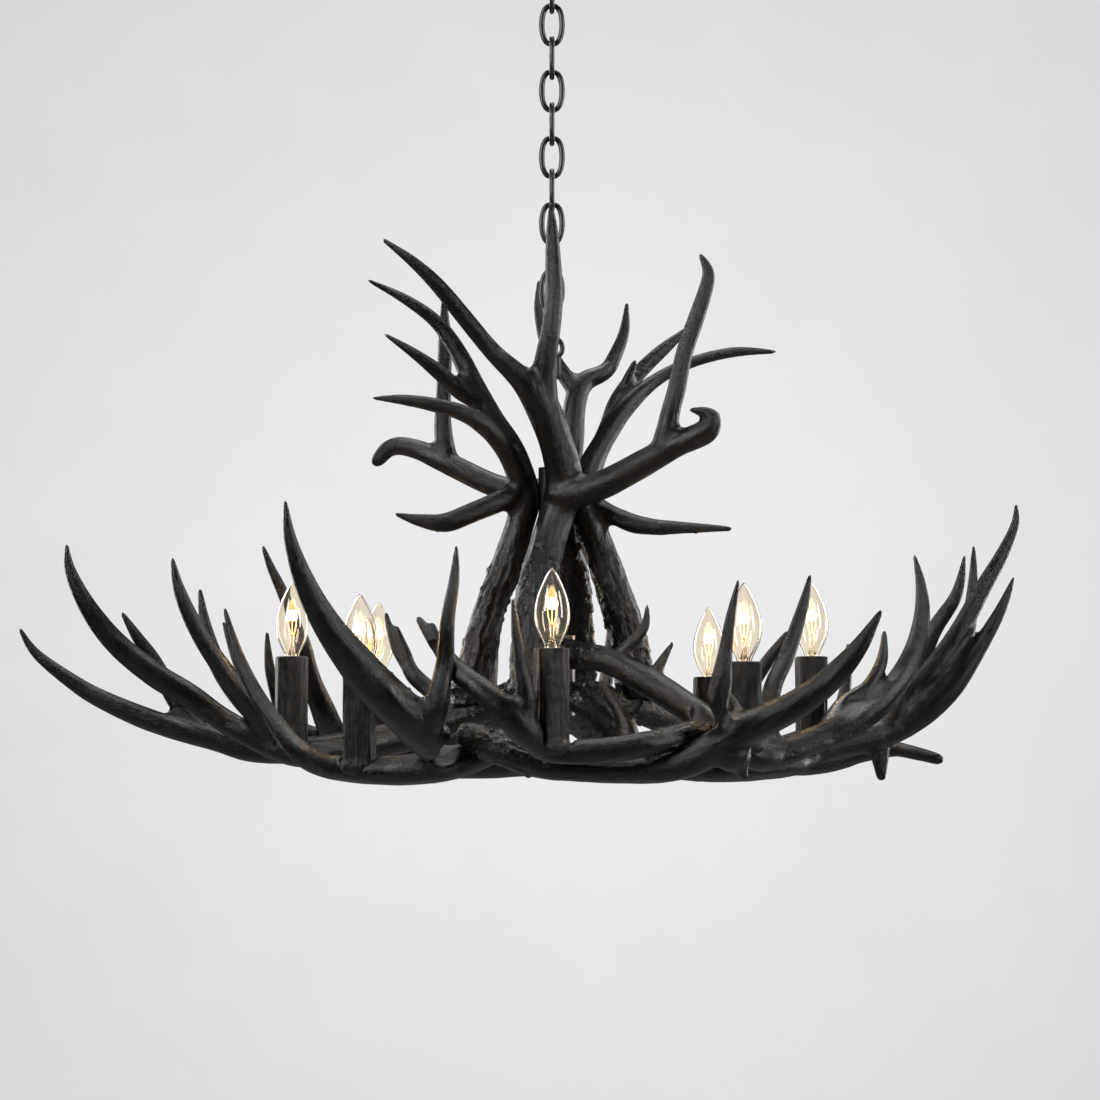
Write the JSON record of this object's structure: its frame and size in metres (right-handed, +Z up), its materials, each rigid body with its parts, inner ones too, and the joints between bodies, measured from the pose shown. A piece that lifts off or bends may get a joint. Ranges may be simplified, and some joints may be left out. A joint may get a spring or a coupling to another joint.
{
  "type": "antler chandelier",
  "caption": "Hanging chandelier of black cast antlers around upright candle sleeves with flame bulbs, on a link chain under a round ceiling canopy.",
  "frame": {"origin": "centre of the canopy's rim, on the ceiling", "axes": "+Z up to the ceiling, +X right and -Y toward the front of the fixture"},
  "size_m": [1.0487, 0.6736, 0.9196],
  "materials": {
    "antler_resin": "satin",
    "sleeve_resin": "matte",
    "black_steel": "semi-gloss",
    "zinc_steel": "satin",
    "socket_plastic": "matte",
    "shell_brass": "satin",
    "bulb_glass": "clear"
  },
  "bodies": {
    "ceiling_mount": {"ceiling_canopy": "black_steel", "mounting_crossbar": "zinc_steel", "canopy_nipple": "zinc_steel", "canopy_loop": "black_steel"},
    "link_01": {"chain_link_01": "black_steel"},
    "link_02": {"chain_link_02": "black_steel"},
    "link_03": {"chain_link_03": "black_steel"},
    "link_04": {"chain_link_04": "black_steel"},
    "link_05": {"chain_link_05": "black_steel"},
    "link_06": {"chain_link_06": "black_steel"},
    "link_07": {"chain_link_07": "black_steel"},
    "link_08": {"chain_link_08": "black_steel"},
    "link_09": {"chain_link_09": "black_steel"},
    "link_10": {"chain_link_10": "black_steel"},
    "link_11": {"chain_link_11": "black_steel"},
    "fixture": {"back_antler": "antler_resin", "back_left_antler": "antler_resin", "back_right_antler": "antler_resin", "center_stem": "black_steel", "crown_back_antler": "antler_resin", "crown_front_antler": "antler_resin", "crown_left_antler": "antler_resin", "crown_right_antler": "antler_resin", "dowel_pins": "zinc_steel", "front_antler": "antler_resin", "front_left_antler": "antler_resin", "front_right_antler": "antler_resin", "hub_loop": "black_steel", "lamp_sockets": "socket_plastic", "left_antler": "antler_resin", "left_back_antler": "antler_resin", "lower_hub": "black_steel", "rear_antler": "antler_resin", "right_antler": "antler_resin", "right_front_antler": "antler_resin", "sleeve_back": "sleeve_resin", "sleeve_back_left": "sleeve_resin", "sleeve_back_right": "sleeve_resin", "sleeve_front": "sleeve_resin", "sleeve_front_left": "sleeve_resin", "sleeve_front_right": "sleeve_resin", "sleeve_left": "sleeve_resin", "sleeve_right": "sleeve_resin", "stem_nuts": "zinc_steel"},
    "bulb_front": {"bulb_glass_front": "bulb_glass", "bulb_base_front": "shell_brass"},
    "bulb_front_right": {"bulb_glass_front_right": "bulb_glass", "bulb_base_front_right": "shell_brass"},
    "bulb_right": {"bulb_glass_right": "bulb_glass", "bulb_base_right": "shell_brass"},
    "bulb_back_right": {"bulb_glass_back_right": "bulb_glass", "bulb_base_back_right": "shell_brass"},
    "bulb_back": {"bulb_glass_back": "bulb_glass", "bulb_base_back": "shell_brass"},
    "bulb_back_left": {"bulb_glass_back_left": "bulb_glass", "bulb_base_back_left": "shell_brass"},
    "bulb_left": {"bulb_glass_left": "bulb_glass", "bulb_base_left": "shell_brass"},
    "bulb_front_left": {"bulb_glass_front_left": "bulb_glass", "bulb_base_front_left": "shell_brass"}
  },
  "joints": [
    {"name": "link_01_swing", "type": "hinge", "parent": "ceiling_mount", "child": "link_01", "pos_m": [0, 0, -0.0778], "axis": [1, 0, 0], "range_deg": [-25, 25]},
    {"name": "link_02_swing", "type": "hinge", "parent": "link_01", "child": "link_02", "pos_m": [0, 0, -0.1128], "axis": [0, 1, 0], "range_deg": [-25, 25]},
    {"name": "link_03_swing", "type": "hinge", "parent": "link_02", "child": "link_03", "pos_m": [0, 0, -0.1478], "axis": [-1, 0, 0], "range_deg": [-25, 25]},
    {"name": "link_04_swing", "type": "hinge", "parent": "link_03", "child": "link_04", "pos_m": [0, 0, -0.1828], "axis": [0, -1, 0], "range_deg": [-25, 25]},
    {"name": "link_05_swing", "type": "hinge", "parent": "link_04", "child": "link_05", "pos_m": [0, 0, -0.2178], "axis": [1, 0, 0], "range_deg": [-25, 25]},
    {"name": "link_06_swing", "type": "hinge", "parent": "link_05", "child": "link_06", "pos_m": [0, 0, -0.2528], "axis": [0, 1, 0], "range_deg": [-25, 25]},
    {"name": "link_07_swing", "type": "hinge", "parent": "link_06", "child": "link_07", "pos_m": [0, 0, -0.2878], "axis": [-1, 0, 0], "range_deg": [-25, 25]},
    {"name": "link_08_swing", "type": "hinge", "parent": "link_07", "child": "link_08", "pos_m": [0, 0, -0.3228], "axis": [0, -1, 0], "range_deg": [-25, 25]},
    {"name": "link_09_swing", "type": "hinge", "parent": "link_08", "child": "link_09", "pos_m": [0, 0, -0.3578], "axis": [1, 0, 0], "range_deg": [-8, 8]},
    {"name": "link_10_swing", "type": "hinge", "parent": "link_09", "child": "link_10", "pos_m": [0, 0, -0.3928], "axis": [0, 1, 0], "range_deg": [-8, 8]},
    {"name": "link_11_swing", "type": "hinge", "parent": "link_10", "child": "link_11", "pos_m": [0, 0, -0.4278], "axis": [-1, 0, 0], "range_deg": [-8, 8]},
    {"name": "fixture_swing", "type": "hinge", "parent": "link_11", "child": "fixture", "pos_m": [0, 0, -0.4628], "axis": [0, -1, 0], "range_deg": [-8, 8]},
    {"name": "bulb_front_unscrew", "type": "slide", "parent": "fixture", "child": "bulb_front", "axis": [0, 0, 1], "range_m": [0, 0.03]},
    {"name": "bulb_front_right_unscrew", "type": "slide", "parent": "fixture", "child": "bulb_front_right", "axis": [0, 0, 1], "range_m": [0, 0.03]},
    {"name": "bulb_right_unscrew", "type": "slide", "parent": "fixture", "child": "bulb_right", "axis": [0, 0, 1], "range_m": [0, 0.03]},
    {"name": "bulb_back_right_unscrew", "type": "slide", "parent": "fixture", "child": "bulb_back_right", "axis": [0, 0, 1], "range_m": [0, 0.03]},
    {"name": "bulb_back_unscrew", "type": "slide", "parent": "fixture", "child": "bulb_back", "axis": [0, 0, 1], "range_m": [0, 0.03]},
    {"name": "bulb_back_left_unscrew", "type": "slide", "parent": "fixture", "child": "bulb_back_left", "axis": [0, 0, 1], "range_m": [0, 0.03]},
    {"name": "bulb_left_unscrew", "type": "slide", "parent": "fixture", "child": "bulb_left", "axis": [0, 0, 1], "range_m": [0, 0.03]},
    {"name": "bulb_front_left_unscrew", "type": "slide", "parent": "fixture", "child": "bulb_front_left", "axis": [0, 0, 1], "range_m": [0, 0.03]}
  ]
}
